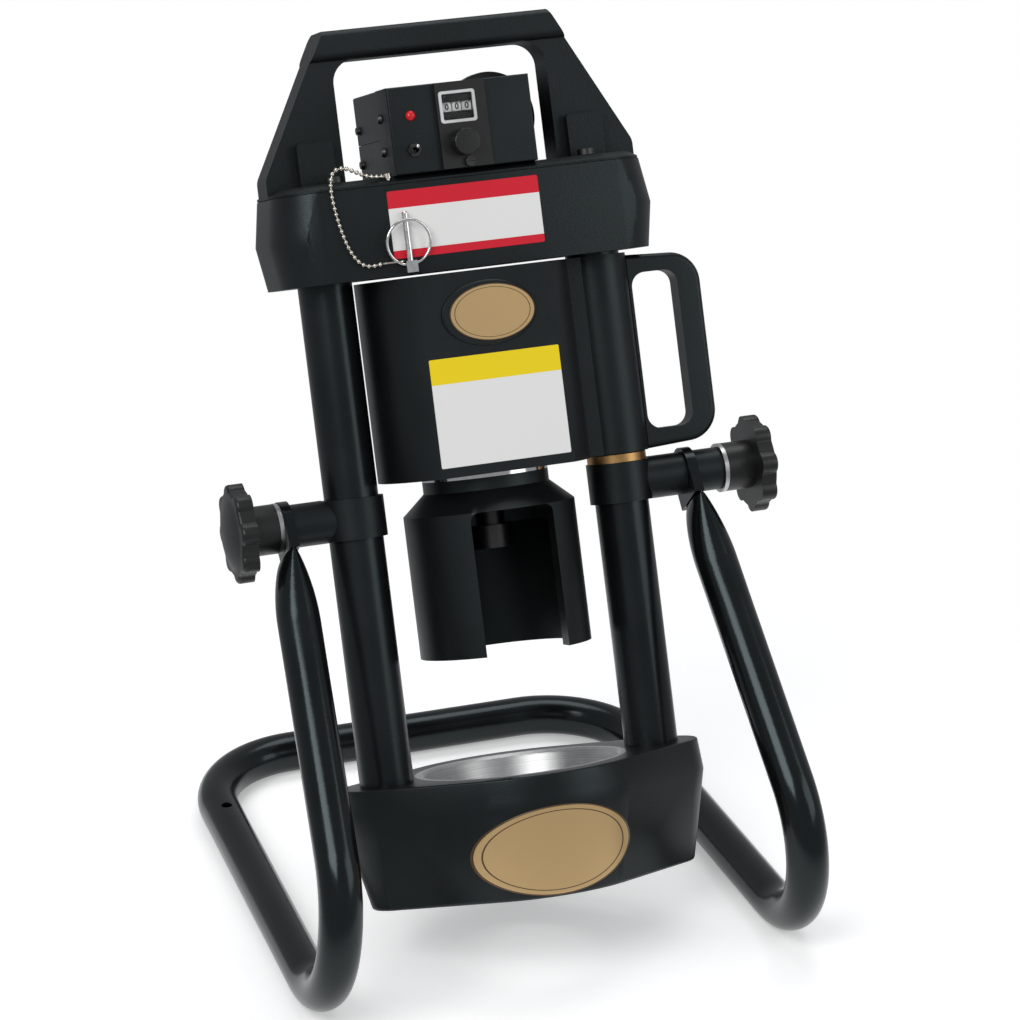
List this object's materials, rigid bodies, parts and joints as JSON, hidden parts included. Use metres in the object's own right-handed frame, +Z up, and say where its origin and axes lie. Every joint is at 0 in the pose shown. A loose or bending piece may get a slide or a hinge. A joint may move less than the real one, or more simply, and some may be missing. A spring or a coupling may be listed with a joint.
{
  "type": "hose crimping machine",
  "caption": "Portable two-column hose crimping machine: swinging press cylinder over a conical die bowl, dial control box, grip cover, leaning on a folding tube stand.",
  "frame": {"origin": "middle of the bounding box in plan, on the floor under the stand, without the lock pin and its chain", "axes": "+Z up from the floor, -Y to the operator in front of the machine, X along the line of the two columns, +X on the side of the swing handle"},
  "size_m": [0.4034, 0.4289, 0.6157],
  "materials": {
    "body_paint": "textured semi-matt black paint",
    "cover_paint": "textured semi-matt black paint",
    "bowl_steel": "turned bare steel",
    "column_black": "satin black",
    "zinc_steel": "zinc plated",
    "black_screws": "black oxide",
    "bronze": "sintered bronze",
    "knob_plastic": "black thermoset",
    "stand_paint": "gloss black powder coat",
    "gland_steel": "dark machined steel",
    "seal_rubber": "seal",
    "ram_steel": "machined",
    "ram_chrome": "hard chrome",
    "pusher_paint": "black oxide",
    "spring_steel": "oiled spring steel",
    "box_paint": "black wrinkle paint",
    "strip_plastic": "black",
    "frame_plastic": "white",
    "window_clear": "clear",
    "mask_plastic": "black",
    "digit_plastic": "white with black figures",
    "lamp_red": "red lens",
    "switch_chrome": "chrome",
    "board_green": "circuit board",
    "battery_plastic": "battery case",
    "pin_chrome": "bright plated",
    "chain_chrome": "nickel plated"
  },
  "bodies": {
    "machine": {"base_block": "body_paint", "die_cone": "bowl_steel", "left_column": "column_black", "right_column": "column_black", "column_bolts": "zinc_steel", "column_nuts": "zinc_steel", "head_block": "body_paint", "handle_cover": "cover_paint", "cover_screws": "black_screws", "left_collar": "body_paint", "right_collar": "body_paint", "collar_screws": "black_screws", "bronze_bush": "bronze", "left_washer": "zinc_steel", "right_washer": "zinc_steel", "left_pivot_stud": "zinc_steel", "right_pivot_stud": "zinc_steel", "right_spacer": "body_paint", "control_front": "box_paint", "control_lower": "box_paint", "control_upper": "box_paint", "control_screws": "black_screws", "control_strip": "strip_plastic", "counter_frame": "frame_plastic", "counter_window": "window_clear", "counter_mask": "mask_plastic", "counter_bracket": "zinc_steel", "status_lamp": "lamp_red", "switch_bushing": "zinc_steel", "lock_screw": "black_screws", "circuit_board": "board_green", "battery": "battery_plastic", "sensor_cap": "knob_plastic", "lock_pin": "pin_chrome", "pin_ring": "pin_chrome", "chain_anchor": "chain_chrome", "bead_chain": "chain_chrome", "chain_link": "chain_chrome"},
    "stand": {"stand_tube": "stand_paint"},
    "cylinder": {"cylinder_housing": "body_paint", "gland_nut": "gland_steel", "rod_seal": "seal_rubber", "swing_handle": "body_paint", "port_fitting": "zinc_steel", "return_spring": "spring_steel"},
    "ram": {"piston": "ram_steel", "piston_seal": "seal_rubber", "ram_rod": "ram_chrome", "pusher": "pusher_paint", "pusher_bolt": "black_screws"},
    "left_knob_body": {"left_knob": "knob_plastic"},
    "right_knob_body": {"right_knob": "knob_plastic"},
    "dial_knob_body": {"dial_knob": "knob_plastic"},
    "hundreds_wheel_body": {"hundreds_wheel": "digit_plastic"},
    "tens_wheel_body": {"tens_wheel": "digit_plastic"},
    "units_wheel_body": {"units_wheel": "digit_plastic"},
    "toggle_lever_body": {"toggle_lever": "switch_chrome"}
  },
  "joints": [
    {"name": "stand_fold", "type": "hinge", "parent": "machine", "child": "stand", "pos_m": [-0.01015, -0.00617, 0.30002], "axis": [1, 0, 0], "range_deg": [-60, 60]},
    {"name": "cylinder_swing", "type": "hinge", "parent": "machine", "child": "cylinder", "pos_m": [0.08805, -0.00617, 0.30002], "axis": [0, 0.3811, 0.9245], "range_deg": [-75, 0]},
    {"name": "ram_stroke", "type": "slide", "parent": "cylinder", "child": "ram", "axis": [0, -0.3811, -0.9245], "range_m": [0, 0.07], "stiffness_N_per_m": 600, "springref_m": -0.25, "deforming": ["return_spring"]},
    {"name": "left_knob_turn", "type": "hinge", "parent": "machine", "child": "left_knob_body", "pos_m": [-0.15865, -0.00617, 0.30002], "axis": [1, 0, 0], "range_deg": [-180, 180]},
    {"name": "right_knob_turn", "type": "hinge", "parent": "machine", "child": "right_knob_body", "pos_m": [0.13835, -0.00617, 0.30002], "axis": [1, 0, 0], "range_deg": [-180, 180]},
    {"name": "dial_turn", "type": "hinge", "parent": "machine", "child": "dial_knob_body", "pos_m": [-0.01215, 0.0422, 0.5486], "axis": [0, -0.9245, 0.3811], "range_deg": [0, 3600]},
    {"name": "units_turn", "type": "hinge", "parent": "machine", "child": "units_wheel_body", "pos_m": [-0.01315, 0.0595, 0.56851], "axis": [1, 0, 0], "range_deg": [0, 3600]},
    {"name": "tens_turn", "type": "hinge", "parent": "machine", "child": "tens_wheel_body", "pos_m": [-0.01315, 0.0595, 0.56851], "axis": [1, 0, 0], "range_deg": [0, 360]},
    {"name": "hundreds_turn", "type": "hinge", "parent": "machine", "child": "hundreds_wheel_body", "pos_m": [-0.01315, 0.0595, 0.56851], "axis": [1, 0, 0], "range_deg": [0, 36]},
    {"name": "toggle_flip", "type": "hinge", "parent": "machine", "child": "toggle_lever_body", "pos_m": [-0.04665, 0.04191, 0.54709], "axis": [1, 0, 0], "range_deg": [0, 24]}
  ],
  "couplings": [
    {"joint": "units_turn", "follows": "dial_turn", "ratio": 1},
    {"joint": "tens_turn", "follows": "dial_turn", "ratio": 0.1},
    {"joint": "hundreds_turn", "follows": "dial_turn", "ratio": 0.01}
  ]
}
